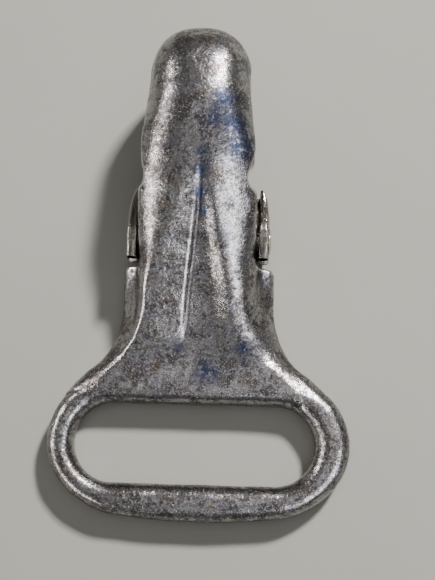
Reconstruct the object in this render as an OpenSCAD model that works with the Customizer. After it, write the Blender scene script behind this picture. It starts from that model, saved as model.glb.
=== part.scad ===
// Small sprung strap snap hook. Millimetres, lying on its back: +Z is up out of the front face,
// the strap loop points to -Y and the rounded tip to +Y. Z = 0 is the surface it lies on.

/* [Body] */
// Overall length from the strap loop's bottom bar to the rounded tip
overall_length = 48.2; // [45:0.1:55]
// Overall width across the strap loop
loop_width = 29.7; // [26:0.1:34]
// Thickness of the strap loop's bar
loop_thickness = 3.6; // [3:0.1:5]
// Overall height, at the crown of the hook's bend
crown_height = 14; // [12:0.1:16]
// Width across the rounded tip
tip_width = 10.4; // [8:0.1:12]
// Width of the shank between the loop and the gate
shank_width = 14.5; // [12:0.1:17]
// Width of the body where the gate's two ears cover its sides
waist_width = 11.5; // [10:0.1:12]
// Depth of the shallow groove down the front face
groove_depth = 0.55; // [0:0.05:1]

/* [Strap slot] */
// Length of the strap slot, end to end
slot_length = 23.6; // [20:0.1:26]
// Height of the strap slot
slot_height = 7.8; // [5:0.1:9]
// Width of the bar below the slot
bottom_bar_width = 3.6; // [3:0.1:6]
// How far the shank, tip and slot sit to one side of the loop's middle
axis_shift = -0.4; // [-0.6:0.1:0.6]

/* [Hook] */
// Radius of the round saddle inside the bend
saddle_radius = 3.6; // [3:0.05:4.5]
// Thickness of the nose under the saddle
nose_thickness = 3.2; // [2:0.1:4]
// Distance from the saddle's axis back to the end of the nose
nose_reach = 5.2; // [3:0.1:8]

/* [Gate] */
// Height of the pivot's axis above the back of the hook
pivot_height = 4.6; // [4:0.1:6]
// Radius of the ears' round ends about the pivot
ear_radius = 2.2; // [1.8:0.1:3]
// Width across the gate's two ears
ear_span = 13.8; // [13:0.1:15]
// Thickness of the gate's sheet metal
gate_sheet = 0.9; // [0.6:0.05:1.2]
// Width of the gate's free end
gate_end_width = 8.4; // [6:0.1:9.6]

/* [Rivet and spring] */
// Radius of the rivet's shank
rivet_radius = 0.9; // [0.6:0.05:1.2]
// Radius of the rivet's peened heads
rivet_head_radius = 1.35; // [1:0.05:2]
// Diameter of the spring's wire
spring_wire = 0.55; // [0.3:0.05:0.8]
// Mean radius of the spring's coil
spring_radius = 1.45; // [1.2:0.05:2]
// Number of turns in the spring
spring_turns = 8; // [3:1:10]

/* [Hidden] */
$fn = 64;
slack = 0.01;                                  // how far a cutting shape passes the face that it cuts
body_colour = [0.52, 0.50, 0.47];
gate_colour = [0.42, 0.40, 0.37];
rivet_colour = [0.66, 0.63, 0.58];
spring_colour = [0.30, 0.30, 0.31];

// Places along Y, all from the two ends of the hook
loop_end_y = -overall_length / 2;
tip_y = overall_length / 2;
slot_low_y = loop_end_y + bottom_bar_width;
slot_mid_y = slot_low_y + slot_height / 2;
slot_top_y = slot_low_y + slot_height;
slot_end_radius = slot_height / 2;
slot_end_x = slot_length / 2 - slot_end_radius;
saddle_z = nose_thickness + saddle_radius;
bend_rise = crown_height / 2;
bend_reach = 7.4;                              // from the saddle's axis to the tip, along Y
saddle_y = tip_y - bend_reach;
nose_end_y = saddle_y - nose_reach;
pivot_y = 3.3;
shoulder_y = pivot_y - ear_radius - 0.3;       // where the full-width shank stops below the ears

// Body outline
flare_radius = 9;                              // concave sweep from the shank into the loop
flare_y = -2.6;
flare_end_angle = 52;                          // where the sweep becomes a straight slope
arm_radius_x = loop_width / 2 - slot_end_x;    // round outer ends of the loop
arm_radius_top = 6.9;
arm_radius_low = slot_mid_y - loop_end_y;
low_bow = 0.5;                                 // how far the bottom bar's ends rise from its middle
shank_foot_y = slot_top_y + 0.4;
shank_back_z = 0.7;                            // back of the shank, just clear of the surface
taper_start_y = 3.5;                           // the shank narrows to the tip from here
taper_length = 15;
tip_round = 6.4;                               // length of the rounded tip in plan
skirt_width = 1.3;                             // ledge along each side, outside the raised shank
skirt_fade = 8;                                // it runs out over this length above the shoulder
skirt_drop = 0.9;
waist_back_z = 2.7;                            // back of the body above the gate's plate
groove_start_length = 6;                       // the groove deepens from the slot over this length
groove_end_y = 2;                              // and runs out from here
groove_end_length = 10;
back_run = 4;                                  // the back comes down to the surface over this length
edge_round = 0.5;                              // round along the back's two edges
widest_ridge = 0.8;                            // ridges stay within this share of the raised shank
rise_start_y = -12;                            // the front face climbs from here
rise_length = 28;
loop_slope = 0.92;                             // how fast the straight slope widens towards the loop
ridge_inset = 2.4;                             // from the loop's and shank's edge in to the ridge
ridge_half_top = 1.2;                          // half the distance between the ridges at the bend
ridge_turn_y = -3;                             // the ridges draw together from here
ridge_turn_length = 12;
flank_low = 0.45;                              // share of the height where the flanks turn vertical,
flank_waist = 0.6;                             // at the loop, beside the ears and at the bend
flank_top = 0.5;
waist_start_y = -1;                            // the flanks stand highest from here
waist_start_length = 3.5;
waist_end_y = 4;                               // to here
waist_end_length = 4.5;
section_points = 9;                            // points along each quarter of a section
tip_rings = 9;                                 // sections that round off the tip
shank_step = 1.5;                              // distance between sections along the shank

// Pocket, mouth and gate
pocket_half = 3.9;                             // half the width of the pocket between the cheeks
pocket_low_y = 1.3;
pocket_high_y = 7.3;
pocket_roof_z = 6.9;
mouth_roof_z = saddle_z + saddle_radius;
nose_radius = nose_thickness / 2 + slack;
cheek_end_radius = 1.4;
running_gap = 0.05;
ear_in_x = ear_span / 2 - gate_sheet;
gate_back_z = 1.1;                             // outside of the gate's plate at the pivot
gate_tuck_gap = 0.15;                          // play between the gate's free end and the nose
gate_end_y = nose_end_y + 2.2;
gate_corner_radius = 1.6;
gate_bend_y = 8.2;                             // where the plate starts to climb into the mouth
gate_shoulder_y = 10.4;                        // where the ears run out
ear_relief_y = pocket_high_y + cheek_end_radius + 0.2;  // the recesses beside the ears end here
open_angle = 26;                               // how far the gate opens
swing_gap = 0.3;                               // room over the open gate's plate
hole_radius = rivet_radius + running_gap;
rivet_head_height = 0.22;

// ---- shape functions ------------------------------------------------------------------------

function mix(a, b, t) = a + (b - a) * t;
function clamp01(t) = min(1, max(0, t));
function ease(t) = clamp01(t) * clamp01(t) * (3 - 2 * clamp01(t));

// Half the body's width at height y, before the gate's recess
flare_stop_y = flare_y - flare_radius * sin(flare_end_angle);
flare_stop_x = shank_width / 2 + flare_radius * (1 - cos(flare_end_angle));
function flare_half(y) =
    y > flare_y ? shank_width / 2 :
    y > flare_stop_y ?
        shank_width / 2 + flare_radius - sqrt(pow(flare_radius, 2) - pow(y - flare_y, 2)) :
    flare_stop_x + (flare_stop_y - y) * loop_slope;

// Share of the width that the rounded tip keeps at y
function tip_share(y) =
    let (past = y - (tip_y - tip_round))
    past <= 0 ? 1 : sqrt(max(0, 1 - pow(past / tip_round, 2)));

function body_half(y) =
    y <= shoulder_y ? flare_half(y) :
    mix(shank_width, tip_width, ease((y - taper_start_y) / taper_length)) / 2 * tip_share(y);

// Front ridge, groove floor and back of the body at y
function bend_lift(y) =
    y <= saddle_y ? 1 : sqrt(max(0, 1 - pow((y - saddle_y) / bend_reach, 2)));
function ridge_z(y) =
    bend_rise + (mix(loop_thickness, crown_height, ease((y - rise_start_y) / rise_length))
        - bend_rise) * bend_lift(y);
function groove_z(y) =
    ridge_z(y) - groove_depth * ease((y - slot_top_y) / groove_start_length)
        * (1 - ease((y - groove_end_y) / groove_end_length));
function back_z(y) =
    y <= saddle_y ? shank_back_z * (1 - ease((y - pivot_y) / back_run)) : bend_rise * (1 - bend_lift(y));
function ridge_half(y) =
    mix(body_half(y) - ridge_inset, ridge_half_top * tip_share(y),
        ease((y - ridge_turn_y) / ridge_turn_length));
function flank_share(y) =
    mix(mix(flank_low, flank_waist, ease((y - waist_start_y) / waist_start_length)), flank_top,
        ease((y - waist_end_y) / waist_end_length));
function flank_z(y) = mix(back_z(y), ridge_z(y), flank_share(y));

// One half of a section, from the back's middle round to the front's middle
function half_section(y) =
    let (w = body_half(y), u = w - skirt_width * (1 - ease((y - shoulder_y) / skirt_fade)),
        r = min(ridge_half(y), u * widest_ridge), b = back_z(y), f = flank_z(y),
        t = ridge_z(y), g = groove_z(y), d = min(skirt_drop, (f - b) / 3), e = min(edge_round, d, w / 2))
    concat(
        [[0, b], [(w - e) / 2, b]],
        [for (i = [0 : 3]) [w - e + e * sin(i * 30), b + e - e * cos(i * 30)]],
        [[w, f - d]],
        [for (i = [0 : section_points]) let (a = 90 * i / section_points)
            [r + (u - r) * cos(a), f + (t - f) * sin(a)]],
        [for (i = [1 : 5]) let (v = 1 - i / 5) [r * v, mix(g, t, (1 - cos(180 * v)) / 2)]]
    );

function whole_section(y) =
    let (half = half_section(y), n = len(half))
    concat(
        [for (p = half) [-p[0], y, p[1]]],
        [for (i = [n - 2 : -1 : 1]) [half[i][0], y, half[i][1]]]
    );

// ---- solids ---------------------------------------------------------------------------------

function middle(ring) = [for (axis = [0 : 2]) let (c = [for (p = ring) p[axis]]) (min(c) + max(c)) / 2];

// Closed skin over rings that all have the same number of points, each end closed round its middle
module skin(rings) {
    n = len(rings[0]);
    count = len(rings);
    last_row = (count - 1) * n;
    walls = [for (k = [0 : count - 2]) for (i = [0 : n - 1]) for (half = [0, 1])
        let (a = k * n + i, b = k * n + (i + 1) % n)
        half == 0 ? [a, a + n, b] : [b, a + n, b + n]];
    first = [for (i = [0 : n - 1]) [count * n, i, (i + 1) % n]];
    last = [for (i = [0 : n - 1]) [count * n + 1, last_row + (i + 1) % n, last_row + i]];
    polyhedron(
        points = concat(
            [for (ring = rings) for (p = ring) p],
            [middle(rings[0]), middle(rings[count - 1])]),
        faces = concat(walls, first, last));
}

// Closed skin over rings that come back to the first one
module loop_skin(rings) {
    n = len(rings[0]);
    count = len(rings);
    polyhedron(
        points = [for (ring = rings) for (p = ring) p],
        faces = [for (k = [0 : count - 1]) for (i = [0 : n - 1]) for (half = [0, 1])
            let (a = k * n + i, b = k * n + (i + 1) % n,
                c = ((k + 1) % count) * n + i, d = ((k + 1) % count) * n + (i + 1) % n)
            half == 0 ? [a, b, c] : [b, d, c]]
    );
}

module shank_and_bend() {
    shank_ys = [for (y = [shank_foot_y : shank_step : saddle_y - 0.5]) y];
    bend_ys = [for (i = [0 : tip_rings]) saddle_y + bend_reach * sin(88 * i / tip_rings)];
    skin([for (y = concat(shank_ys, bend_ys)) whole_section(y)]);
}

// The loop's bar: inner and outer edge at each station round the slot, right end first
end_step = 9;
straight_stations = 8;
bow_slope = low_bow / slot_end_x * (arm_radius_low - low_bow);
bar_points = 16;
wall_land = 0.25;                              // how much of the bar's round the slot's wall trims flat
function end_radius(a) =
    a > 0 ? mix(arm_radius_x, arm_radius_top, pow(sin(a), 2)) :
    mix(arm_radius_x, arm_radius_low - low_bow, pow(sin(a), 2)) - bow_slope * sin(2 * a) * sin(a);
function end_station(side, a) =
    [for (edge = [[slot_end_radius - wall_land, axis_shift], [end_radius(a), 0]])
        [side * (slot_end_x + edge[0] * cos(a)) + edge[1], slot_mid_y + edge[0] * sin(a)]];
function top_station(x) = [[x + axis_shift, slot_top_y - wall_land], [x, slot_mid_y + arm_radius_top]];
function low_station(x) =
    [[x + axis_shift, slot_low_y + wall_land], [x, loop_end_y + low_bow * pow(x / slot_end_x, 2)]];
stations = concat(
    [for (a = [-90 : end_step : 90]) end_station(1, a)],
    [for (i = [1 : straight_stations - 1]) top_station(slot_end_x * (1 - 2 * i / straight_stations))],
    [for (a = [90 : -end_step : -90]) end_station(-1, a)],
    [for (i = [1 : straight_stations - 1]) low_station(slot_end_x * (2 * i / straight_stations - 1))]
);
function bar_section(station) =
    [for (i = [0 : bar_points - 1])
        let (s = 360 * i / bar_points, u = (1 + cos(s)) / 2)
        [mix(station[0][0], station[1][0], u), mix(station[0][1], station[1][1], u),
         loop_thickness / 2 * (1 + sin(s))]];

module loop_bar() {
    loop_skin([for (s = stations) bar_section(s)]);
}

module slot_cut() {
    translate([0, slot_mid_y, -1]) {
        for (side = [-1, 1])
            translate([side * slot_end_x, 0, 0])
                cylinder(r = slot_end_radius, h = crown_height);
        translate([-slot_end_x, -slot_end_radius, 0])
            cube([2 * slot_end_x, slot_height, crown_height]);
    }
}

// The shank's own middle line, to one side of the loop's
module on_axis() {
    translate([axis_shift, 0, 0])
        children();
}

// Rod along X through the whole width, about the point (y, z)
module cross_rod(r, y, z, length) {
    translate([-length / 2, y, z])
        rotate([0, 90, 0])
            cylinder(r = r, h = length);
}

// Space inside the bend: a round saddle and the straight run back to the pocket
module mouth_cut() {
    cross_rod(saddle_radius, saddle_y, saddle_z, loop_width);
    translate([-loop_width / 2, pocket_high_y + cheek_end_radius, saddle_z - saddle_radius])
        cube([loop_width, saddle_y - pocket_high_y - cheek_end_radius, 2 * saddle_radius]);
    // round end of the cheeks, and the way in between the cheeks and the nose
    cross_rod(cheek_end_radius, pocket_high_y + cheek_end_radius, mouth_roof_z - cheek_end_radius, loop_width);
    translate([-loop_width / 2, pocket_high_y, -1])
        cube([loop_width, cheek_end_radius + slack, mouth_roof_z - cheek_end_radius + 1]);
    // the way in through the back, up to the nose's round end
    difference() {
        translate([-loop_width / 2, pocket_high_y, -1])
            cube([loop_width, nose_end_y + nose_radius - pocket_high_y, saddle_z + 1]);
        cross_rod(nose_radius, nose_end_y + nose_radius, nose_thickness / 2, loop_width + 2);
    }
}

// Hollow for the coil spring, open at the back and towards the mouth
module pocket_cut() {
    translate([-pocket_half, pocket_low_y, -1])
        cube([2 * pocket_half, pocket_high_y - pocket_low_y + 2, pocket_roof_z + 1]);
}

// Height that the open gate's plate leaves free at y, and where that meets the body's back
plate_drop = pivot_height - gate_back_z - gate_sheet - swing_gap;
function swing_roof_z(y) = pivot_height + ((y - pivot_y) * sin(open_angle) - plate_drop) / cos(open_angle);
swing_start_y = pivot_y + (plate_drop - (pivot_height - waist_back_z) * cos(open_angle)) / sin(open_angle);

// The back is cut away over the gate's plate and its swing, and each side over an ear's swing
module gate_relief() {
    relief_end_y = pocket_high_y + 1;
    side_slab(-loop_width / 2, loop_width)
        polygon([
            [shoulder_y, -1],
            [relief_end_y, -1],
            [relief_end_y, swing_roof_z(relief_end_y)],
            [swing_start_y, waist_back_z],
            [shoulder_y, waist_back_z]
        ]);
    for (side = [-1, 1])
        translate([side * (waist_width + loop_width) / 2, 0, 0])
            cube_over([-loop_width / 2, shoulder_y, -1], [loop_width / 2, ear_relief_y, crown_height]);
}

// Box between two opposite corners
module cube_over(low, high) {
    translate(low)
        cube(high - low);
}

module hook_body() {
    color(body_colour)
        difference() {
            union() {
                on_axis()
                    shank_and_bend();
                loop_bar();
            }
            on_axis() {
                slot_cut();
                mouth_cut();
                pocket_cut();
                gate_relief();
                cross_rod(hole_radius, pivot_y, pivot_height, loop_width);
            }
        }
}

// ---- gate -----------------------------------------------------------------------------------

gate_tuck_z = nose_thickness + gate_tuck_gap;
ear_top_run = 3.2;                             // the ear's top runs level this far, dropping a little
ear_top_drop = 0.3;
ear_toe_rise = 1.2;                            // the ear's lower edge: front, bend and behind the pivot
ear_bend_rise = 0.2;
ear_heel_run = 1;
ear_heel_rise = 0.6;
ear_back_run = 1.9;
ear_back_drop = 1.1;
plate_back_run = 1.2;                          // the plate reaches this far behind the pivot
plate_bend_run = 1;                            // and starts to climb this far before the bend
plate_top_shift = 0.3;                         // the climb's upper face lies this far back
plan_back_run = 3;
plan_side_run = 2.9;                           // full width to here, ahead of the pivot
plan_neck_run = 1.1;

// Side outline of one ear: round about the pivot, then tapering down onto the plate
module ear_outline() {
    translate([pivot_y, pivot_height])
        circle(r = ear_radius);
    polygon([
        [pivot_y, pivot_height + ear_radius],
        [pivot_y + ear_top_run, pivot_height + ear_radius - ear_top_drop],
        [gate_shoulder_y, gate_tuck_z + gate_sheet],
        [gate_shoulder_y, gate_back_z + ear_toe_rise],
        [gate_bend_y, gate_back_z + ear_bend_rise],
        [pivot_y + ear_heel_run, gate_back_z],
        [pivot_y - plate_back_run, gate_back_z + ear_heel_rise],
        [pivot_y - ear_back_run, pivot_height - ear_back_drop]
    ]);
}

// Side outline of the plate: flat behind the pivot, climbing to lie on top of the nose
module plate_outline() {
    polygon([
        [pivot_y - plate_back_run, gate_back_z],
        [gate_bend_y - plate_bend_run, gate_back_z],
        [nose_end_y, gate_tuck_z],
        [gate_end_y, gate_tuck_z],
        [gate_end_y, gate_tuck_z + gate_sheet],
        [nose_end_y - plate_top_shift, gate_tuck_z + gate_sheet],
        [gate_bend_y - plate_bend_run - plate_top_shift, gate_back_z + gate_sheet],
        [pivot_y - plate_back_run, gate_back_z + gate_sheet]
    ]);
}

// Plan outline of the whole gate: wide at the ears, drawn in to the free end
module gate_plan() {
    polygon([
        [-ear_span / 2, pivot_y - plan_back_run],
        [ear_span / 2, pivot_y - plan_back_run],
        [ear_span / 2, pivot_y + plan_side_run],
        [ear_in_x, gate_bend_y],
        [gate_end_width / 2, gate_shoulder_y + plan_neck_run],
        [gate_end_width / 2, gate_end_y - gate_corner_radius],
        [-gate_end_width / 2, gate_end_y - gate_corner_radius],
        [-gate_end_width / 2, gate_shoulder_y + plan_neck_run],
        [-ear_in_x, gate_bend_y],
        [-ear_span / 2, pivot_y + plan_side_run]
    ]);
    for (side = [-1, 1])
        translate([side * (gate_end_width / 2 - gate_corner_radius), gate_end_y - gate_corner_radius])
            circle(r = gate_corner_radius);
    translate([-gate_end_width / 2 + gate_corner_radius, gate_end_y - gate_corner_radius])
        square([gate_end_width - 2 * gate_corner_radius, gate_corner_radius]);
}

// Lift a side outline (Y, Z) into a slab from x = start, of the given width
module side_slab(start, width) {
    translate([start, 0, 0])
        rotate([90, 0, 90])
            linear_extrude(width)
                children();
}

module gate() {
    color(gate_colour)
        on_axis() difference() {
            intersection() {
                union() {
                    side_slab(-ear_span / 2, ear_span)
                        plate_outline();
                    for (start = [-ear_span / 2, ear_in_x])
                        side_slab(start, gate_sheet)
                            ear_outline();
                }
                linear_extrude(crown_height)
                    gate_plan();
            }
            cross_rod(hole_radius, pivot_y, pivot_height, loop_width);
        }
}

// ---- rivet and spring -----------------------------------------------------------------------

module rivet_head() {
    ball_radius = (pow(rivet_head_radius, 2) + pow(rivet_head_height, 2)) / (2 * rivet_head_height);
    intersection() {
        translate([0, 0, rivet_head_height - ball_radius])
            sphere(r = ball_radius);
        cylinder(r = rivet_head_radius, h = rivet_head_height);
    }
}

module pivot_rivet() {
    color(rivet_colour)
        on_axis() {
            cross_rod(rivet_radius, pivot_y, pivot_height, ear_span + 2 * running_gap);
            for (side = [-1, 1])
                translate([side * (ear_span / 2 + running_gap), pivot_y, pivot_height])
                    rotate([0, side * 90, 0])
                        rivet_head();
        }
}

wire_sides = 8;
coil_steps = 16;
coil_pitch = spring_wire * 1.06;
roof_leg_rise = 15.5;                          // each leg leaves the coil towards the mouth, at this angle
gate_leg_drop = 14.4;
leg_gap = 0.03;                                // between a leg's end and what it presses on

// Centre line of the wire: the leg under the pocket's roof, the coil, the leg on the gate's plate
coil_start = 90 + roof_leg_rise;
coil_turn = 360 * spring_turns - 180 - roof_leg_rise - gate_leg_drop;
coil_half = coil_pitch * coil_turn / 720;
coil_count = floor(coil_turn / 360 * coil_steps);
function coil_point(a, x) =
    [x, pivot_y + spring_radius * cos(a), pivot_height + spring_radius * sin(a)];
coil_line = [for (i = [0 : coil_count]) let (u = i / coil_count)
    coil_point(coil_start + coil_turn * u, mix(-coil_half, coil_half, u))];
leg_room = spring_wire / 2 + leg_gap;
roof_leg_length = (pocket_roof_z - leg_room - pivot_height - spring_radius * cos(roof_leg_rise))
    / sin(roof_leg_rise);
gate_leg_length = (pivot_height - spring_radius * cos(gate_leg_drop)
    - (gate_back_z + gate_sheet + leg_room)) / sin(gate_leg_drop);
function leg_step(angle, length) = length * [0, cos(angle), sin(angle)];
roof_leg_end = coil_line[0] + leg_step(roof_leg_rise, roof_leg_length);
gate_leg_end = coil_line[coil_count] + leg_step(-gate_leg_drop, gate_leg_length);
wire_line = concat([roof_leg_end], coil_line, [gate_leg_end]);

function unit(v) = v / norm(v);
function wire_ring(i) =
    let (before = wire_line[max(0, i - 1)], after = wire_line[min(len(wire_line) - 1, i + 1)],
        along = unit(after - before), up = unit(cross([1, 0, 0], along)), side = cross(along, up))
    [for (k = [0 : wire_sides - 1]) let (s = 360 * k / wire_sides)
        wire_line[i] + spring_wire / 2 * (cos(s) * up + sin(s) * side)];

module gate_spring() {
    color(spring_colour)
        on_axis()
            skin([for (i = [0 : len(wire_line) - 1]) wire_ring(i)]);
}

hook_body();
gate();
pivot_rivet();
gate_spring();
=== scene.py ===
"""Looks for the strap snap hook: a worn metal casting, its sheet gate, rivet and coil spring."""
import math
import bpy
import numpy as np
from mathutils import Matrix, Vector

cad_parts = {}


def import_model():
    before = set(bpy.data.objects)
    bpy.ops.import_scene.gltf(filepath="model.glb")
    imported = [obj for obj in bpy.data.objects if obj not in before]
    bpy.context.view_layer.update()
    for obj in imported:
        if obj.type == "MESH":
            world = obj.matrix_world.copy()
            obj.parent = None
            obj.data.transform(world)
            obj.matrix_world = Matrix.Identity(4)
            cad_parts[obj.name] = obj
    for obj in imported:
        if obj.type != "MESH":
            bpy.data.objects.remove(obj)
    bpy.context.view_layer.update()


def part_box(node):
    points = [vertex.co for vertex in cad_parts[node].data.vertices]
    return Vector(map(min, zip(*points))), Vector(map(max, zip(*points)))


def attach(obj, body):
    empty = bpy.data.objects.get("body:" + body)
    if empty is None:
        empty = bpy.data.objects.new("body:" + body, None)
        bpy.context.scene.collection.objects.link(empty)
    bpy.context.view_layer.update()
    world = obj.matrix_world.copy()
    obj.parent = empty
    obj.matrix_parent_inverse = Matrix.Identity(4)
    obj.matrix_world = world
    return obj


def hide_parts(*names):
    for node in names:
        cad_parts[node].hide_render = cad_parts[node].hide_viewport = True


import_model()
MM = 0.001


# ---- places, in millimetres, from the frame ---------------------------------------------------

def box_mm(node):
    """Lowest and highest corner of a CAD node, in millimetres."""
    low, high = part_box(node)
    return np.array(low) / MM, np.array(high) / MM


body_low, body_high = box_mm("hook_body")
rivet_low, rivet_high = box_mm("pivot_rivet")
gate_low, gate_high = box_mm("gate")
axis_x, pivot_y, pivot_z = (rivet_low + rivet_high) / 2

HALF_WIDTH = body_high[0]
CROWN = body_high[2]

# strap loop
LOOP_THICK = 3.6
SLOT_HALF = 11.8
SLOT_ROUND = 3.9
BOTTOM_BAR = 3.6
LOW_BOW = 0.5
ARM_TOP = 6.9
slot_end = SLOT_HALF - SLOT_ROUND
slot_y = body_low[1] + BOTTOM_BAR + SLOT_ROUND
slot_top = slot_y + SLOT_ROUND
arm_x = HALF_WIDTH - slot_end
arm_low = slot_y - body_low[1]

# shank and tip: it narrows from TAPER_START, and the skirt is the ledge along each side
SHANK_HALF = 7.25
TIP_HALF = 5.2
WAIST_HALF = 5.75
SKIRT = 1.3
SKIRT_FADE = 8.0
FLARE_ROUND = 9.0
FLARE_Y = -2.6
FLARE_STOP = 52.0
LOOP_SLOPE = 0.92
RISE_START = -12.0
RISE_LENGTH = 28.0
BEND_REACH = 7.4
TAPER_START = 3.5
TAPER = 15.0
SHANK_BACK = 0.7
shoulder_y = pivot_y - 2.5
bend_y = body_high[1] - BEND_REACH
flare_stop_y = FLARE_Y - FLARE_ROUND * math.sin(math.radians(FLARE_STOP))
flare_stop_x = SHANK_HALF + FLARE_ROUND * (1 - math.cos(math.radians(FLARE_STOP)))

# mouth, pocket, and the recesses that the gate swings in
SADDLE = 3.6
NOSE = 3.2
NOSE_REACH = 5.2
POCKET_HALF = 3.9
POCKET_LOW = 1.3
CHEEK_END = 7.3
POCKET_ROOF = 6.9
PLATE_RELIEF = 2.7
EAR_RELIEF_END = 8.9
OPEN_ANGLE = math.radians(26)
SWING_DROP = 2.3
saddle_z = NOSE + SADDLE
nose_end = bend_y - NOSE_REACH

# ridges, the flanks outside them and the groove between them
RIDGE_INSET = 2.4
RIDGE_HALF_TOP = 1.2
RIDGE_SHIFT = 1.6  # the right ridge lies this much nearer the middle
RIDGE_TURN = -3
RIDGE_TURN_LENGTH = 12
FLANK_LOW = 0.45
FLANK_WAIST = 0.6
FLANK_TOP = 0.5
WAIST_START = -1
WAIST_START_LENGTH = 3.5
WAIST_END = 4
WAIST_END_LENGTH = 4.5
DISH_DEPTH = 0.25
GROOVE_DEPTH = 0.30
GROOVE_SIDE = 0.65

# how far the cast surface wanders from its true shape
UNEVEN = 0.014


# ---- small shape tools ------------------------------------------------------------------------

def ease(t):
    t = np.clip(t, 0.0, 1.0)
    return t * t * (3 - 2 * t)


def mix(a, b, t):
    return a + (b - a) * t


def soft_max(a, b, k):
    """Larger of two distances, rounded over k where they meet."""
    h = np.clip(0.5 - 0.5 * (b - a) / k, 0.0, 1.0)
    return mix(b, a, h) + k * h * (1 - h)


def soft_min(a, b, k):
    return -soft_max(-a, -b, k)


def slab(v, low, high):
    """Distance outside the range low to high."""
    return np.maximum(low - v, v - high)


def box_distance(spans):
    """Distance to a box from how far each coordinate is outside its range."""
    outside = np.sqrt(sum(np.maximum(s, 0) ** 2 for s in spans))
    nearest = spans[0]
    for s in spans[1:]:
        nearest = np.maximum(nearest, s)
    return outside + np.minimum(nearest, 0)


def ellipse_distance(p, q, a, c):
    """Rough distance to a quarter ellipse with half-axes a and c."""
    k0 = np.sqrt((p / a) ** 2 + (q / c) ** 2) + 1e-6
    k1 = np.sqrt((p / a ** 2) ** 2 + (q / c ** 2) ** 2) + 1e-6
    return k0 * (k0 - 1) / k1


# ---- the casting's outline and height, as functions of the place along it -----------------------

def half_width(y):
    """Half the width of the shank, from the flare to the tip."""
    dip = np.sqrt(np.maximum(FLARE_ROUND ** 2 - (np.maximum(y, flare_stop_y) - FLARE_Y) ** 2, 0))
    flare = np.where(y > FLARE_Y, SHANK_HALF, SHANK_HALF + FLARE_ROUND - dip)
    slope = LOOP_SLOPE
    flare = np.where(y < flare_stop_y, flare_stop_x + (flare_stop_y - y) * slope, flare)
    taper = mix(SHANK_HALF, TIP_HALF, ease((y - TAPER_START) / TAPER))
    return np.where(y < shoulder_y, flare, taper)


def ridge_height(y):
    return mix(LOOP_THICK, CROWN, ease((y - RISE_START) / RISE_LENGTH))


def ridge_half(y):
    """Half the distance between the two ridges: they draw together towards the bend."""
    drawn = ease((y - RIDGE_TURN) / RIDGE_TURN_LENGTH)
    return mix(half_width(y) - RIDGE_INSET, RIDGE_HALF_TOP, drawn)


def flank_share(y):
    """Share of the height where the flanks turn vertical: highest beside the gate's ears."""
    low = mix(FLANK_LOW, FLANK_WAIST, ease((y - WAIST_START) / WAIST_START_LENGTH))
    return mix(low, FLANK_TOP, ease((y - WAIST_END) / WAIST_END_LENGTH))


def groove_depth(x, y):
    """Dish between the ridges, and the narrow groove down its middle."""
    r = ridge_half(y)
    dish = DISH_DEPTH * np.cos(np.clip(x / r, -1, 1) * math.pi / 2) ** 2
    dish = dish * ease((y - slot_top - 0.5) / 4) * (1 - ease((y - 5) / 9))
    half = mix(1.9, 0.45, ease((y + 7) / 16))
    left = ease((half + x - GROOVE_SIDE) / 0.6 + 0.5)
    right = ease((half - x + GROOVE_SIDE) / mix(2.4, 1.5, ease((y + 7) / 10)) + 0.5)
    groove = GROOVE_DEPTH * left * right * ease((y + 8.5) / 5) * (1 - ease((y - 8) / 3.5))
    return dish + groove


# ---- the casting ------------------------------------------------------------------------------

def loop_outline(x, y):
    """Distance outside the strap loop's outer edge, in plan."""
    over = np.abs(x) - slot_end
    dy = y - slot_y
    away = np.sqrt(np.maximum(over, 0) ** 2 + dy ** 2) + 1e-6
    s = dy / away
    c2 = 1 - s * s
    below = np.minimum(s, 0)
    bow = LOW_BOW / slot_end * (arm_low - LOW_BOW)
    low = mix(arm_x, arm_low - LOW_BOW, below ** 2) - 2 * bow * np.sqrt(c2) * below ** 2
    radius = np.where(dy > 0, mix(arm_x, ARM_TOP, s * s), low)
    ends = away - radius
    middle_low = body_low[1] + LOW_BOW * (x / slot_end) ** 2
    middle = np.maximum(middle_low - y, y - slot_y - ARM_TOP)
    return np.where(over > 0, ends, middle)


def slot_distance(x, y):
    """Distance outside the strap slot, in plan."""
    over = np.maximum(np.abs(x - axis_x) - slot_end, 0)
    return np.sqrt(over ** 2 + (y - slot_y) ** 2) - SLOT_ROUND


def plate(x, y, z):
    """Strap loop and flare: a plate with fully rounded edges."""
    flare = (np.abs(x - axis_x) - half_width(y)) * 0.75
    flare = np.maximum(flare, slab(y, slot_top + 0.6, 0.5))
    outer = soft_min(loop_outline(x, y), flare, mix(0.1, 1.4, ease((y - slot_top) / 3.5)))
    slot = slot_distance(x, y)
    thick = np.clip((slot - outer) / 2, 0.8, 2.1)
    edge = np.minimum(slot, -outer)
    across = np.clip(1 - edge / thick, 0, None)
    half = LOOP_THICK / 2
    up = np.abs(z - half) / half
    power = 2.3
    return ((across ** power + up ** power) ** (1 / power) - 1) * 1.6


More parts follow.
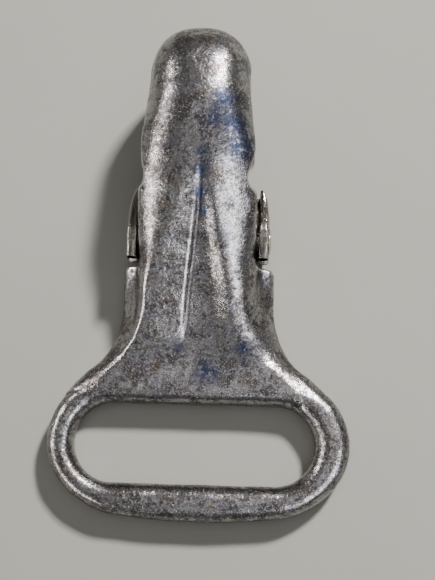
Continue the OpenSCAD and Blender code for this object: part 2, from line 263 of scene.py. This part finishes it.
def shank(x, y, z):
    """Shank between the loop and the bend: a crowned bar on a wider skirt."""
    side = np.abs(x)
    w = half_width(y)
    t = ridge_height(y) - groove_depth(x, y)
    back = SHANK_BACK * (1 - ease((y - pivot_y) / 4))
    base = mix(back, ridge_height(y), flank_share(y))
    upper = w - SKIRT * (1 - ease((y - shoulder_y) / SKIRT_FADE))
    near = ridge_half(y) - np.where(x > 0, RIDGE_SHIFT, 0) * ease((y + 13) / 6) * (1 - ease((y - 9) / 5))
    r = np.minimum(near, upper * 0.85)
    bar = ellipse_distance(np.maximum(side - r, 0), np.maximum(z - base, 0), upper - r, t - base)
    bar = np.where((side < r) & (z > base), z - t, bar)
    bar = np.where(z <= base, side - upper, bar)
    skirt = soft_max(side - w, z - base + 0.75 + np.maximum(side - upper, -0.5) * 0.35, 0.5)
    both = soft_min(bar, skirt, 0.7)
    return soft_max(soft_max(both, back - z, 0.5), slot_top + 0.6 - y, 0.8)


def bend(x, y, z):
    """Upper shank, bend and nose before the mouth is cut: a long round-ended bullet."""
    t = ridge_height(y)
    half = t / 2
    w = np.minimum(half_width(y), SHANK_HALF)
    past = np.maximum(y - bend_y, 0) / (BEND_REACH - 0.35)
    power = 2.75
    flat = np.abs(x / w) ** power + np.abs((z - half) / half) ** power
    flat = flat ** (1 / power)
    return ((flat ** 2.6 + past ** 2.6) ** (1 / 2.6) - 1) * 4.6


def mouth(y, z):
    """Space inside the bend, seen from the side."""
    saddle = np.sqrt((y - bend_y) ** 2 + (z - saddle_z) ** 2) - SADDLE
    round_end = 1.4
    along = slab(y, CHEEK_END + round_end, bend_y)
    upright = slab(z, NOSE + round_end, NOSE + 2 * SADDLE - round_end)
    middle = box_distance([along, upright]) - round_end
    nose_r = NOSE / 2
    nose = np.sqrt((y - nose_end - nose_r) ** 2 + (z - nose_r) ** 2) - nose_r
    way_in = box_distance([slab(y, CHEEK_END, nose_end + nose_r), slab(z, -9, saddle_z)])
    way_in = np.maximum(way_in, -nose)
    return np.minimum(np.minimum(saddle, middle), way_in)


def casting(x, y, z):
    """Signed distance, roughly, to the whole casting; negative inside."""
    sx = x - axis_x
    solid = mix(shank(sx, y, z), bend(sx, y, z), ease((y - 4) / 7))
    solid = soft_min(solid, plate(x, y, z), 0.9)
    solid = soft_max(solid, -mouth(y, z), 0.45)
    pocket_y = slab(y, POCKET_LOW, CHEEK_END + 2)
    pocket = box_distance([np.abs(sx) - POCKET_HALF, pocket_y, z - POCKET_ROOF])
    swing = (z - pivot_z) * math.cos(OPEN_ANGLE) - (y - pivot_y) * math.sin(OPEN_ANGLE) + SWING_DROP
    under = np.maximum(slab(y, shoulder_y, CHEEK_END + 1), np.minimum(z - PLATE_RELIEF, swing))
    beside = box_distance([WAIST_HALF - np.abs(sx), slab(y, shoulder_y, EAR_RELIEF_END)])
    for cut, rounding in ((pocket, 0.3), (under, 0.3), (beside, 0.25)):
        solid = soft_max(solid, -cut, rounding)
    bore = np.sqrt((y - pivot_y) ** 2 + (z - pivot_z) ** 2) - 0.95
    solid = np.maximum(solid, -bore)
    sway = np.sin(0.9 * x + 1.3) * np.sin(0.7 * y + 0.4)
    sway = sway + np.sin(1.7 * y - 1.1 * x) * np.sin(0.8 * z + 2)
    return solid + UNEVEN * sway


# ---- the gate ---------------------------------------------------------------------------------

SHEET = 0.9
GATE_BACK = 1.1
EAR_ROUND = 2.2
GATE_BEND = 8.2
EAR_END = 8.5
GATE_END_HALF = 4.2
TUCK_GAP = 0.15
ear_out = (gate_high[0] - gate_low[0]) / 2
ear_in = ear_out - SHEET
gate_end = gate_high[1]
tuck_z = NOSE + TUCK_GAP


def gate_field(x, y, z):
    """Signed distance to the pressed sheet gate."""
    sx = np.abs(x - axis_x)
    climb = nose_end - GATE_BEND + 1.4
    rise = ease((y - GATE_BEND + 1.4) / climb)
    outside = mix(GATE_BACK, tuck_z, rise)
    steep = 1.5 * (tuck_z - GATE_BACK) / climb * 4 * rise * (1 - rise)
    slope = 1 / np.sqrt(1 + steep ** 2)
    sheet = slab(z, outside, outside + SHEET) * slope
    width = mix(ear_out, GATE_END_HALF, ease((y - 5.6) / 5.8))
    corner = 1.6
    over = np.maximum(sx - (width - corner), 0)
    ahead = np.maximum(y - (gate_end - corner), 0)
    plan = np.sqrt(over ** 2 + ahead ** 2) - corner
    plan = np.maximum(np.maximum(plan, sx - width), pivot_y - 1.2 - y)
    flat = soft_max(sheet, plan, 0.3)
    ear_taper = np.clip((y - pivot_y - 2) / (EAR_END - pivot_y - 2), 0, 1)
    ear_x = slab(sx, ear_in, mix(ear_in + 0.1, ear_out, np.sqrt(1 - ear_taper ** 2 * 0.98)))
    head = np.sqrt((y - pivot_y) ** 2 + (z - pivot_z) ** 2) - EAR_ROUND
    top = mix(pivot_z + EAR_ROUND, tuck_z + 2.2, ease((y - pivot_y) / (EAR_END - pivot_y)))
    heel = (pivot_y - 1.2 - 0.3 * (z - GATE_BACK) - y) * 0.96
    web = soft_max(soft_max(heel, z - top, 0.5), soft_max(y - EAR_END, outside - z, 0.3), 0.3)
    ear = soft_max(ear_x, soft_min(head, web, 0.6), 0.3)
    solid = soft_min(flat, ear, 0.7)
    solid = soft_max(solid, outside - z, 0.3)
    return np.maximum(solid, 0.93 - np.sqrt((y - pivot_y) ** 2 + (z - pivot_z) ** 2))


# ---- rivet ------------------------------------------------------------------------------------

RIVET_ROUND = 0.9
HEAD_ROUND = (rivet_high[1] - rivet_low[1]) / 2 - 0.05
rivet_half = (rivet_high[0] - rivet_low[0]) / 2


def rivet_field(x, y, z):
    """Signed distance to the rivet: a shank with a low peened dome at each end."""
    sx = np.abs(x - axis_x)
    away = np.sqrt((y - pivot_y) ** 2 + (z - pivot_z) ** 2)
    shank_part = soft_max(away - RIVET_ROUND, sx - rivet_half + 0.1, 0.1)
    dome_z = rivet_half - 0.13 * (away / HEAD_ROUND) ** 2
    facet = 0.03 * np.sin(5 * np.arctan2(z - pivot_z, y - pivot_y) + 1)
    head = soft_max(away - HEAD_ROUND + facet, sx - dome_z, 0.12)
    head = np.maximum(head, ear_out + 0.02 - sx)
    return soft_min(shank_part, head, 0.05)


# ---- meshes -----------------------------------------------------------------------------------

CORNERS = [(i, j, k) for i in (0, 1) for j in (0, 1) for k in (0, 1)]


def surface_net(values, low, step):
    """Points and quads over the zero level of a grid of values that are negative inside."""
    inside = values < 0
    shape = np.array(values.shape) - 1
    count = np.zeros(shape, np.int8)
    for i, j, k in CORNERS:
        count += inside[i:shape[0] + i, j:shape[1] + j, k:shape[2] + k]
    cells = np.argwhere((count > 0) & (count < 8))
    number = np.full(shape, -1, np.int32)
    number[tuple(cells.T)] = np.arange(len(cells))
    total = np.zeros((len(cells), 3))
    hits = np.zeros(len(cells))
    for corner in CORNERS:
        for axis in range(3):
            if corner[axis]:
                continue
            other = list(corner)
            other[axis] = 1
            a = values[tuple((cells + corner).T)]
            b = values[tuple((cells + other).T)]
            crossed = (a < 0) != (b < 0)
            place = np.tile(np.array(corner, float), (len(cells), 1))
            place[:, axis] = np.where(crossed, a / np.where(crossed, a - b, 1), 0)
            total += place * crossed[:, None]
            hits += crossed
    points = low + step * (cells + total / hits[:, None])
    quads = []
    for axis in range(3):
        u, v = np.eye(3, dtype=int)[(axis + 1) % 3], np.eye(3, dtype=int)[(axis + 2) % 3]
        lower = np.take(inside, range(shape[axis]), axis)
        upper = np.take(inside, range(1, shape[axis] + 1), axis)
        for start, order in ((lower & ~upper, 1), (~lower & upper, -1)):
            at = np.argwhere(start)
            ring = [number[tuple((at - u * i - v * j).T)] for i, j in ((1, 1), (0, 1), (0, 0), (1, 0))]
            quads.append(np.stack(ring[::order], 1))
    return points, np.concatenate(quads)


def gradient(field, p, reach):
    """Slope of a field at each point."""
    slopes = []
    for axis in range(3):
        shift = np.zeros(3)
        shift[axis] = reach
        a, b = p + shift, p - shift
        slopes.append((field(*a.T) - field(*b.T)) / (2 * reach))
    return np.stack(slopes, 1)


def settle(field, points, step):
    """Move points onto the true surface."""
    for _ in range(3):
        slope = gradient(field, points, 0.02)
        size = np.maximum((slope ** 2).sum(1), 0.05)
        move = slope * (field(*points.T) / size)[:, None]
        length = np.linalg.norm(move, axis=1)[:, None]
        points = points - move * np.minimum(1, 0.4 * step / np.maximum(length, 1e-9))
    return points


def roundness(field, points, reach):
    """How convex the surface is at each point: above 0 on an edge, below 0 in a hollow."""
    around = np.zeros(len(points))
    for axis in range(3):
        shift = np.zeros(3)
        shift[axis] = reach
        around += field(*(points + shift).T) + field(*(points - shift).T)
    return (around - 6 * field(*points.T)) / reach ** 2


def mesh_object(name, points, faces, smooth=True):
    mesh = bpy.data.meshes.new(name)
    mesh.from_pydata((points * MM).tolist(), [], faces)
    mesh.validate()
    mesh.update()
    if smooth:
        mesh.polygons.foreach_set("use_smooth", [True] * len(mesh.polygons))
    piece = bpy.data.objects.new(name, mesh)
    bpy.context.scene.collection.objects.link(piece)
    return piece


def solid_piece(name, field, low, high, step):
    """Skin a field inside a box, with its convexity kept as an attribute for the material."""
    pad = 3 * step
    axes = [np.arange(a - pad, b + pad, step) for a, b in zip(low, high)]
    values = field(axes[0][:, None, None], axes[1][None, :, None], axes[2][None, None, :])
    points, quads = surface_net(values, np.array([a[0] for a in axes]), step)
    points = settle(field, points, step)
    points = np.clip(points, low, high + 0.05)
    piece = mesh_object(name, points, quads.tolist())
    edge = piece.data.attributes.new("edge", "FLOAT", "POINT")
    edge.data.foreach_set("value", roundness(field, points, 0.35))
    return piece


# ---- materials --------------------------------------------------------------------------------

class Nodes:
    """Short forms for building one material's node tree."""

    def __init__(self, name):
        self.material = bpy.data.materials.new(name)
        self.material.use_nodes = True
        self.tree = self.material.node_tree
        self.shader = self.tree.nodes["Principled BSDF"]
        coords = self.tree.nodes.new("ShaderNodeTexCoord")
        scale = self.tree.nodes.new("ShaderNodeVectorMath")
        scale.operation = "SCALE"
        scale.inputs["Scale"].default_value = 1 / MM
        self.link(coords.outputs["Object"], scale.inputs[0])
        self.mm = scale.outputs[0]

    def link(self, a, b):
        self.tree.links.new(a, b)

    def put(self, socket, value):
        if isinstance(value, bpy.types.NodeSocket):
            self.link(value, socket)
        else:
            socket.default_value = value

    def noise(self, scale, detail=4.0, rough=0.55, stretch=None, warp=0.0):
        """Noise whose scale is in features per millimetre."""
        node = self.tree.nodes.new("ShaderNodeTexNoise")
        node.inputs["Scale"].default_value = scale
        node.inputs["Detail"].default_value = detail
        node.inputs["Roughness"].default_value = rough
        node.inputs["Distortion"].default_value = warp
        place = self.mm
        if stretch:
            turn = self.tree.nodes.new("ShaderNodeMapping")
            turn.inputs["Rotation"].default_value = stretch[1]
            turn.inputs["Scale"].default_value = stretch[0]
            self.link(place, turn.inputs["Vector"])
            place = turn.outputs[0]
        self.link(place, node.inputs["Vector"])
        return node.outputs["Fac"]

    def cells(self, scale):
        """Distance from the nearest of many scattered points."""
        node = self.tree.nodes.new("ShaderNodeTexVoronoi")
        node.inputs["Scale"].default_value = scale
        node.inputs["Randomness"].default_value = 1.0
        self.link(self.mm, node.inputs["Vector"])
        return node.outputs["Distance"]

    def attribute(self, name):
        node = self.tree.nodes.new("ShaderNodeAttribute")
        node.attribute_name = name
        return node.outputs["Fac"]

    def ramp(self, value, low, high, out_low=0.0, out_high=1.0):
        node = self.tree.nodes.new("ShaderNodeMapRange")
        node.interpolation_type = "SMOOTHSTEP"
        for socket, v in zip(node.inputs, (value, low, high, out_low, out_high)):
            self.put(socket, v)
        return node.outputs[0]

    def math(self, kind, a, b=0.0):
        node = self.tree.nodes.new("ShaderNodeMath")
        node.operation = kind
        self.put(node.inputs[0], a)
        self.put(node.inputs[1], b)
        return node.outputs[0]

    def blend(self, factor, a, b, kind="MIX"):
        node = self.tree.nodes.new("ShaderNodeMix")
        node.data_type = "RGBA"
        node.blend_type = kind
        self.put(node.inputs["Factor"], factor)
        self.put(node.inputs["A"], a if isinstance(a, bpy.types.NodeSocket) else (*a, 1))
        self.put(node.inputs["B"], b if isinstance(b, bpy.types.NodeSocket) else (*b, 1))
        return node.outputs["Result"]

    def bump(self, height, strength, distance, after=None):
        node = self.tree.nodes.new("ShaderNodeBump")
        node.inputs["Strength"].default_value = strength
        node.inputs["Distance"].default_value = distance * MM
        self.link(height, node.inputs["Height"])
        if after is not None:
            self.link(after, node.inputs["Normal"])
        return node.outputs[0]


def worn_metal(name, dark, middle, bright, blue=0.0, edge_low=0.9, edge_high=2.6, rough=(0.13, 0.36)):
    """Tarnished plate: dark in hollows, mottled on faces, rubbed bright along edges."""
    n = Nodes(name)
    edge = n.attribute("edge")
    blotch = n.noise(0.55, 6, 0.62, warp=0.5)
    mottle = n.noise(2.3, 5, 0.66)
    grit = n.noise(6.5, 3, 0.62)
    fine = n.math("SUBTRACT", mottle, 0.5)
    worn = n.ramp(n.math("ADD", edge, n.math("MULTIPLY", fine, 2.4)), edge_low, edge_high)
    hollow = n.ramp(edge, -0.2, -1.0)
    tarnish = n.ramp(n.math("ADD", blotch, n.math("MULTIPLY", fine, 0.8)), 0.40, 0.62)
    colour = n.blend(tarnish, middle, dark)
    warm = n.ramp(n.noise(0.9, 3, 0.6), 0.50, 0.68)
    colour = n.blend(n.math("MULTIPLY", warm, 0.32), colour, (0.21, 0.15, 0.105))
    cool = n.ramp(n.noise(0.7, 3, 0.6, warp=0.3), 0.52, 0.66)
    colour = n.blend(n.math("MULTIPLY", cool, 0.30), colour, (0.22, 0.21, 0.30))
    speck = n.ramp(grit, 0.52, 0.66)
    colour = n.blend(n.math("MULTIPLY", speck, 0.38), colour, bright)
    dust = n.ramp(grit, 0.46, 0.34)
    colour = n.blend(n.math("MULTIPLY", dust, 0.55), colour, dark)
    colour = n.blend(n.math("MULTIPLY", worn, 0.7), colour, bright)
    colour = n.blend(n.math("MULTIPLY", hollow, 0.75), colour, dark)
    if blue:
        stain = n.math("MULTIPLY", n.attribute("stain"), n.ramp(mottle, 0.34, 0.48))
        colour = n.blend(n.math("MULTIPLY", stain, blue), colour, (0.02, 0.034, 0.085))
    spread = n.ramp(n.noise(0.8, 2, 0.5), 0.47, 0.60)
    pit = n.math("MULTIPLY", n.ramp(n.cells(0.95), 0.17, 0.09), spread)
    colour = n.blend(n.math("MULTIPLY", pit, 0.8), colour, (0.03, 0.026, 0.022))
    n.put(n.shader.inputs["Base Color"], colour)
    n.shader.inputs["Metallic"].default_value = 1.0
    uneven = n.math("ADD", blotch, n.math("MULTIPLY", mottle, 0.8))
    gloss = n.math("SUBTRACT", uneven, n.math("MULTIPLY", worn, 0.3))
    n.put(n.shader.inputs["Roughness"], n.ramp(gloss, 0.55, 1.15, *rough))
    scratch_a = n.noise(1.0, 3, 0.6, stretch=((6.0, 0.35, 1.0), (0, 0, 0.35)))
    scratch_b = n.noise(1.0, 3, 0.6, stretch=((7.0, 0.3, 1.0), (0, 0, -0.75)))
    scratches = n.math("ADD", n.ramp(scratch_a, 0.62, 0.72), n.ramp(scratch_b, 0.64, 0.74))
    normal = n.bump(blotch, 0.6, 0.16)
    normal = n.bump(mottle, 0.6, 0.05, normal)
    normal = n.bump(grit, 0.5, 0.014, normal)
    normal = n.bump(pit, 0.5, -0.05, normal)
    normal = n.bump(scratches, 0.3, -0.01, normal)
    n.link(normal, n.shader.inputs["Normal"])
    return n.material


def floor_material():
    """Plain pale floor with a faint unevenness."""
    n = Nodes("pale_floor")
    colour = n.blend(n.noise(0.05, 3, 0.5), (0.35, 0.35, 0.32), (0.385, 0.385, 0.355))
    n.put(n.shader.inputs["Base Color"], colour)
    n.shader.inputs["Roughness"].default_value = 0.9
    n.shader.inputs["Specular IOR Level"].default_value = 0.1
    n.link(n.bump(n.noise(3.5, 3, 0.6), 0.25, 0.05), n.shader.inputs["Normal"])
    return n.material


# ---- the pieces -------------------------------------------------------------------------------

body_step = 0.18

# Blue heat-like stains on the front face: x from the shank's axis, y, radius
STAINS = [(2.6, 14.6, 1.6), (3.4, 12.6, 2.1), (4.2, 10.6, 1.9), (1.8, 12.9, 1.3), (0.5, 9.8, 0.8),
          (0.5, 8.2, 0.9), (0.5, 6.4, 0.9), (0.7, 4.8, 0.7), (1.0, -9.8, 1.6), (-1.5, -7.5, 0.8),
          (4.6, -7.5, 1.1)]


def add_stains(piece):
    count = len(piece.data.vertices)
    flat = np.empty(count * 3)
    piece.data.vertices.foreach_get("co", flat)
    p = flat.reshape(-1, 3) / MM
    stain = np.zeros(count)
    for sx, sy, radius in STAINS:
        away = np.hypot(p[:, 0] - axis_x - sx, p[:, 1] - sy)
        stain = np.maximum(stain, (1 - ease(away / radius * 0.75)) * (p[:, 2] > 2.5))
    layer = piece.data.attributes.new("stain", "FLOAT", "POINT")
    layer.data.foreach_set("value", stain)


body = solid_piece("hook_casting", casting, body_low, body_high, body_step)
add_stains(body)
body.data.materials.append(worn_metal(
    "worn_casting", (0.055, 0.050, 0.052), (0.27, 0.263, 0.27), (0.82, 0.80, 0.785), blue=0.85))
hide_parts("hook_body")
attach(body, "frame")

gate = solid_piece("gate_sheet", gate_field, gate_low, gate_high, 0.12)
gate.data.materials.append(worn_metal(
    "dark_sheet", (0.05, 0.042, 0.036), (0.17, 0.155, 0.14), (0.46, 0.43, 0.39),
    edge_low=0.9, edge_high=2.8))
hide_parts("gate")
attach(gate, "gate")

rivet = solid_piece("rivet_peened", rivet_field, rivet_low, rivet_high, 0.09)
rivet.data.materials.append(worn_metal(
    "bright_rivet", (0.08, 0.07, 0.062), (0.24, 0.22, 0.20), (0.55, 0.52, 0.48),
    edge_low=1.4, edge_high=3.6))
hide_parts("pivot_rivet")
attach(rivet, "frame")

# spring: a leg under the pocket's roof, the coil, and a leg on the gate's plate
WIRE = 0.55
COIL = 1.45
TURNS = 8
ROOF_RISE = math.radians(15.5)
GATE_DROP = math.radians(14.4)
COIL_STEPS = 32
coil_turn = 2 * math.pi * TURNS - math.pi - ROOF_RISE - GATE_DROP
coil_half = WIRE * 1.06 * coil_turn / (4 * math.pi)
leg_room = WIRE / 2 + 0.03
roof_leg = (POCKET_ROOF - leg_room - pivot_z - COIL * math.cos(ROOF_RISE)) / math.sin(ROOF_RISE)
gate_leg = (pivot_z - COIL * math.cos(GATE_DROP) - GATE_BACK - SHEET - leg_room) / math.sin(GATE_DROP)


def coil_point(u):
    a = math.pi / 2 + ROOF_RISE + coil_turn * u
    return np.stack([axis_x + mix(-coil_half, coil_half, u),
                     pivot_y + COIL * np.cos(a), pivot_z + COIL * np.sin(a)], -1)


def leg(start, angle, length):
    """Straight wire from the coil towards the mouth."""
    along = np.linspace(0, 1, 9)[:, None] * length
    return start + along * np.array([0, math.cos(angle), math.sin(angle)])


def tube(name, line, radius, sides):
    """Round wire along a line, with rounded ends."""
    along = np.gradient(line, axis=0)
    along /= np.linalg.norm(along, axis=1)[:, None]
    tips = np.radians([90, 68, 45, 22])
    first = [line[0] - along[0] * radius * 0.5 * math.sin(a) for a in tips]
    last = [line[-1] + along[-1] * radius * 0.5 * math.sin(a) for a in tips[::-1]]
    shrink = np.concatenate([np.cos(tips), np.ones(len(line)), np.cos(tips[::-1])])
    shrink = np.maximum(shrink, 0.03)
    line = np.concatenate([first, line, last])
    along = np.concatenate([[along[0]] * 4, along, [along[-1]] * 4])
    up = np.cross([1.0, 0.0, 0.0], along)
    up /= np.linalg.norm(up, axis=1)[:, None]
    side = np.cross(along, up)
    s = np.linspace(0, 2 * math.pi, sides, endpoint=False)
    round_the_wire = np.cos(s)[None, :, None] * up[:, None] + np.sin(s)[None, :, None] * side[:, None]
    rings = line[:, None] + radius * shrink[:, None, None] * round_the_wire
    count = len(line)
    k, i = np.meshgrid(np.arange(count - 1), np.arange(sides), indexing="ij")
    j = (i + 1) % sides
    walls = np.stack([k * sides + i, k * sides + j, (k + 1) * sides + j, (k + 1) * sides + i], -1)
    faces = walls.reshape(-1, 4).tolist()
    faces += [list(range(sides))[::-1], [(count - 1) * sides + i for i in range(sides)]]
    piece = mesh_object(name, rings.reshape(-1, 3), faces)
    piece.data.attributes.new("edge", "FLOAT", "POINT")
    return piece


wire_metal = worn_metal(
    "spring_wire", (0.05, 0.045, 0.045), (0.16, 0.155, 0.155), (0.5, 0.48, 0.46),
    edge_low=2.0, edge_high=3.0)
coil_line = coil_point(np.linspace(0, 1, int(coil_turn / (2 * math.pi) * COIL_STEPS)))
roof_line = leg(coil_line[0], ROOF_RISE, roof_leg)[:0:-1]
spring = tube("gate_coil_spring", np.concatenate([roof_line, coil_line]), WIRE / 2, 14)
spring_leg = tube("gate_spring_leg", leg(coil_line[-1], -GATE_DROP, gate_leg), WIRE / 2, 14)
for wire, rides_on in ((spring, "frame"), (spring_leg, "gate")):
    wire.data.materials.append(wire_metal)
    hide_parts("gate_spring")
    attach(wire, rides_on)


# ---- floor, lights and camera -----------------------------------------------------------------

def floor():
    half = 0.6
    mesh = bpy.data.meshes.new("floor")
    corners = [(-half, -half, 0), (half, -half, 0), (half, half, 0), (-half, half, 0)]
    mesh.from_pydata(corners, [], [(0, 1, 2, 3)])
    plane = bpy.data.objects.new("floor", mesh)
    plane.data.materials.append(floor_material())
    bpy.context.scene.collection.objects.link(plane)


def area_light(name, place, size, power, colour=(1, 1, 1), glossy=True, diffuse=True):
    """Soft rectangular light that faces the hook; glossy and diffuse say what it lights."""
    data = bpy.data.lights.new(name, "AREA")
    data.shape = "RECTANGLE"
    data.size, data.size_y = size
    data.energy = power
    data.color = colour
    lamp = bpy.data.objects.new(name, data)
    lamp.location = place
    aim = Vector((0, 0, 0.005)) - Vector(place)
    lamp.rotation_euler = aim.to_track_quat("-Z", "Y").to_euler()
    lamp.visible_glossy = glossy
    lamp.visible_diffuse = diffuse
    bpy.context.scene.collection.objects.link(lamp)


def world(strength, colour):
    scene_world = bpy.data.worlds.new("studio")
    scene_world.use_nodes = True
    back = scene_world.node_tree.nodes["Background"]
    back.inputs["Color"].default_value = (*colour, 1)
    back.inputs["Strength"].default_value = strength
    bpy.context.scene.world = scene_world


# The camera stands over the loop's end and looks a little towards the tip. The hook is turned
# and rolled a little under it.
FOCAL = 91.0
SENSOR = 36.0
CAMERA_HEIGHT = 110.9
TILT = 12.4
HOOK_TURN = -1.8
HOOK_ROLL = -2.5
HOOK_OFFSET = (-1.35, 24.95, 0.55)


def camera():
    turn = Matrix.Rotation(math.radians(HOOK_TURN), 4, "Z")
    turn = turn @ Matrix.Rotation(math.radians(HOOK_ROLL), 4, "Y")
    hook_to_ground = Matrix.Translation(Vector(HOOK_OFFSET) * MM) @ turn
    view = Matrix.Translation((0, 0, CAMERA_HEIGHT * MM)) @ Matrix.Rotation(math.radians(TILT), 4, "X")
    data = bpy.data.cameras.new("camera")
    data.sensor_fit = "HORIZONTAL"
    data.sensor_width = SENSOR
    data.lens = FOCAL
    data.clip_start = 0.005
    eye = bpy.data.objects.new("camera", data)
    eye.matrix_world = hook_to_ground.inverted() @ view
    bpy.context.scene.collection.objects.link(eye)
    bpy.context.scene.camera = eye


floor()
camera()
world(0.16, (1.0, 0.98, 0.97))
area_light("key", (0.16, 0.235, 0.29), (0.045, 0.045), 3.2, (1.0, 0.97, 0.93))
area_light("room", (0.05, -0.05, 0.55), (0.6, 0.6), 0.7, (1.0, 0.98, 0.95), glossy=False)
area_light("left_strip", (-0.30, -0.19, 0.17), (0.42, 0.03), 1.2, (1.0, 0.96, 0.9), diffuse=False)
area_light("tip_strip", (-0.30, 0.10, 0.22), (0.20, 0.025), 0.9, (1.0, 0.96, 0.9), diffuse=False)
area_light("right_panel", (0.25, -0.16, 0.30), (0.50, 0.14), 1.8, (0.97, 0.98, 1.0), diffuse=False)
area_light("front_panel", (0.0, -0.27, 0.54), (0.30, 0.22), 0.13, (0.97, 0.98, 1.0), diffuse=False)
area_light("top_panel", (0.03, 0.03, 0.60), (0.16, 0.20), 0.20, (1.0, 0.99, 1.0), diffuse=False)
